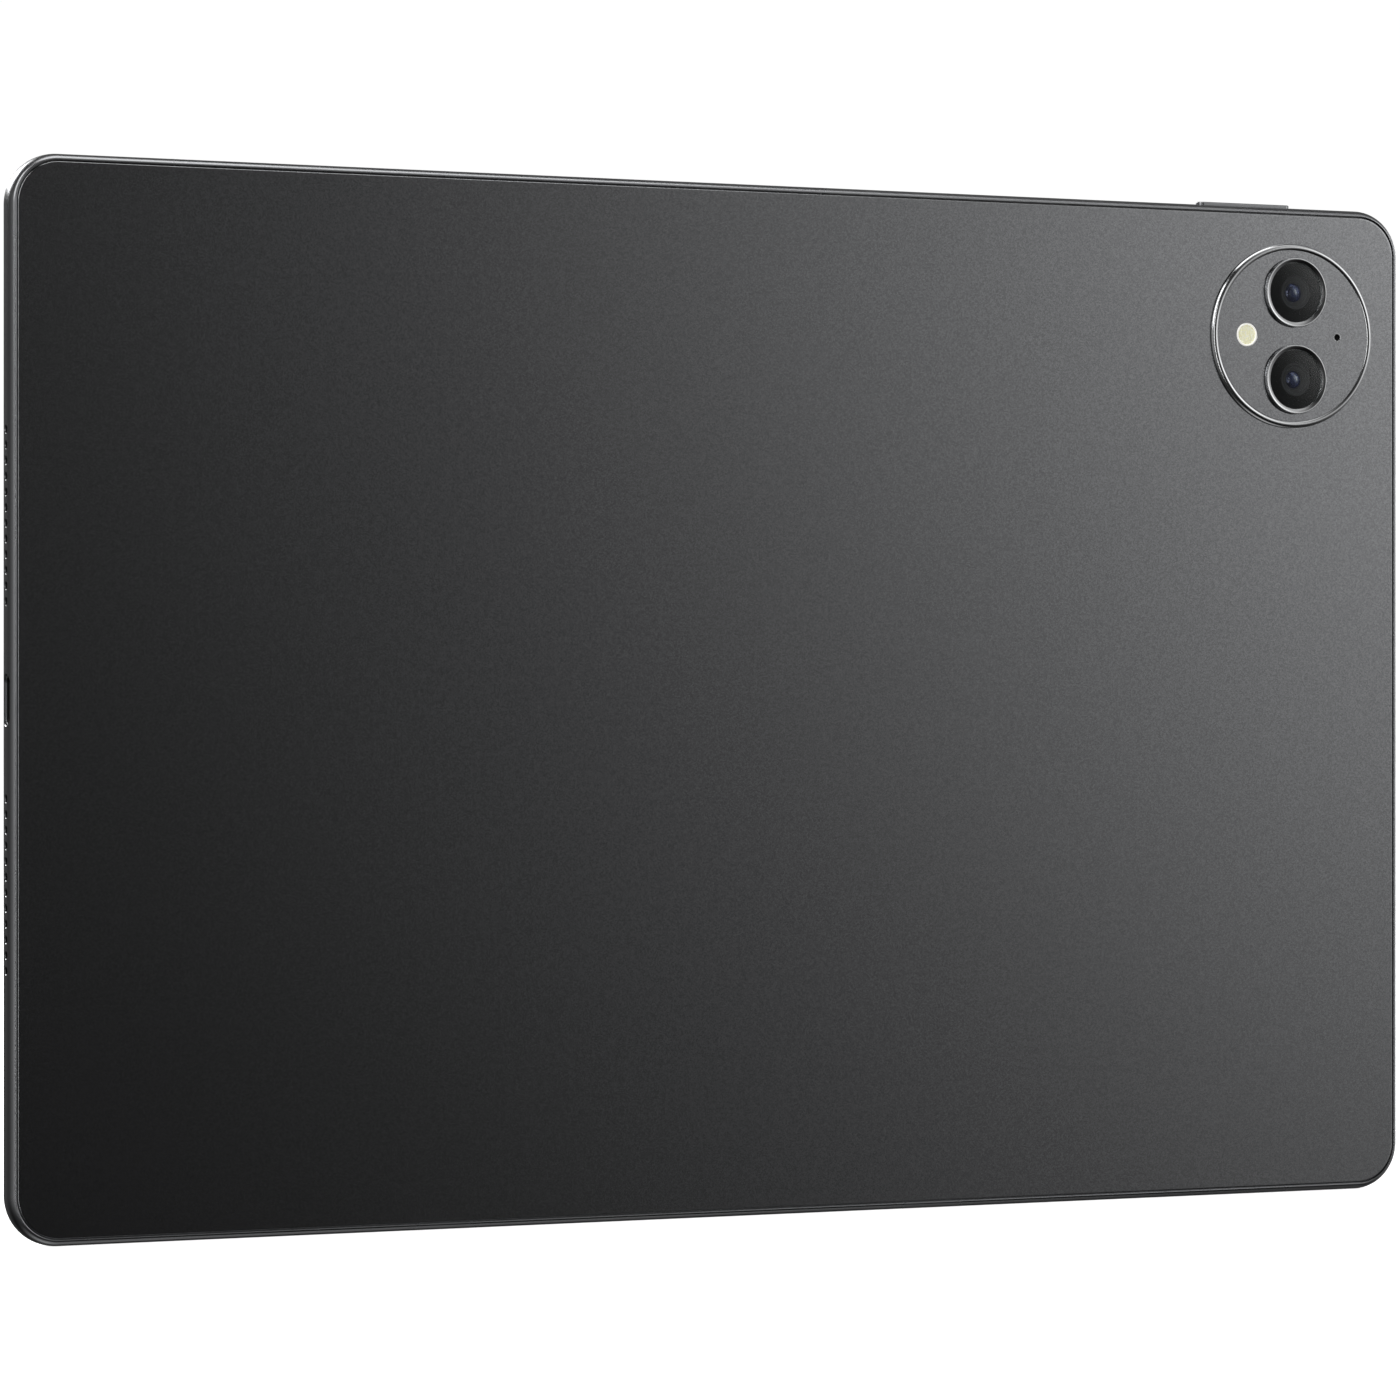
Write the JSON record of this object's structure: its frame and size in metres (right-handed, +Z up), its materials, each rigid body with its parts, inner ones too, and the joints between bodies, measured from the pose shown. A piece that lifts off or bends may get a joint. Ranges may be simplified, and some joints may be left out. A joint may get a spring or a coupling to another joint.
{
  "type": "tablet computer",
  "caption": "Slim rounded-rectangle tablet computer with a metal frame, flat rear cover, round camera island, rocking volume key, power key and charge port.",
  "frame": {"origin": "centre of the rear cover's flat outer face, with the tablet upright on its long lower edge", "axes": "+X along the long side, to the right as seen from the rear; +Y through the thickness towards the screen; +Z up along the short side"},
  "size_m": [0.2892, 0.0071, 0.1967],
  "materials": {
    "frame_metal": "fine blasted and anodised, dark silver",
    "rear_coat": "fine matte metallic coat",
    "polished_metal": "polished",
    "front_glass": "clear glass, black printed from behind",
    "lens_glass": "coated, black printed from behind",
    "flash_lens": "clear moulded lens over yellow phosphor",
    "display": "switched off",
    "gasket": "adhesive foam tape",
    "module_plastic": "moulded black",
    "steel": "stamped stainless steel",
    "shield_metal": "tinned sheet",
    "mesh_metal": "blackened woven mesh",
    "board": "solder mask",
    "flex": "polyimide film",
    "graphite": "graphite sheet",
    "battery_pouch": "wrapped pouch cell",
    "copper": "enamelled copper winding",
    "magnet": "nickel plated"
  },
  "bodies": {
    "tablet_body": {"mid_frame": "frame_metal", "rear_cover": "rear_coat", "rear_cover_gasket": "gasket", "cover_glass": "front_glass", "oled_panel": "display", "display_gasket": "gasket", "display_flex": "flex", "camera_deco_ring": "polished_metal", "camera_island_plate": "rear_coat", "main_lens_ring": "polished_metal", "wide_lens_ring": "polished_metal", "main_lens_window": "lens_glass", "wide_lens_window": "lens_glass", "main_camera_module": "module_plastic", "wide_camera_module": "module_plastic", "camera_bracket": "steel", "camera_bracket_screw_1": "steel", "camera_bracket_screw_2": "steel", "flash_window": "flash_lens", "flash_led_board": "board", "rear_microphone": "shield_metal", "volume_key_retainer": "steel", "volume_up_switch": "shield_metal", "volume_down_switch": "shield_metal", "volume_key_flex": "flex", "power_key_retainer": "steel", "power_switch": "shield_metal", "power_key_flex": "flex", "charge_port_shell": "steel", "charge_port_tongue": "module_plastic", "port_board": "board", "port_board_screw": "steel", "interconnect_flex": "flex", "speaker_port_side_lower": "module_plastic", "speaker_port_side_upper": "module_plastic", "speaker_key_side_lower": "module_plastic", "speaker_key_side_upper": "module_plastic", "speaker_mesh_port_side_lower": "mesh_metal", "speaker_mesh_port_side_upper": "mesh_metal", "speaker_mesh_key_side_lower": "mesh_metal", "speaker_mesh_key_side_upper": "mesh_metal", "main_board": "board", "main_board_screw_1": "steel", "main_board_screw_2": "steel", "main_board_screw_3": "steel", "main_board_screw_4": "steel", "processor_package": "module_plastic", "processor_shield": "shield_metal", "power_shield": "shield_metal", "heat_spreader": "graphite", "battery_cell_left": "battery_pouch", "battery_cell_right": "battery_pouch", "battery_protection_board": "board", "front_camera_module": "module_plastic", "pen_charging_coil": "copper", "pen_magnet_left": "magnet", "pen_magnet_right": "magnet"},
    "volume_rocker": {"volume_key": "frame_metal"},
    "power_button": {"power_key": "frame_metal"}
  },
  "joints": [
    {"name": "volume_rock", "type": "hinge", "parent": "tablet_body", "child": "volume_rocker", "pos_m": [0.11, 0.0028, 0.0964], "axis": [0, 1, 0], "range_deg": [-1.2, 1.2], "stiffness_Nm_per_rad": 0.05},
    {"name": "power_press", "type": "slide", "parent": "tablet_body", "child": "power_button", "axis": [-1, 0, 0], "range_m": [0, 0.00025], "stiffness_N_per_m": 300}
  ]
}
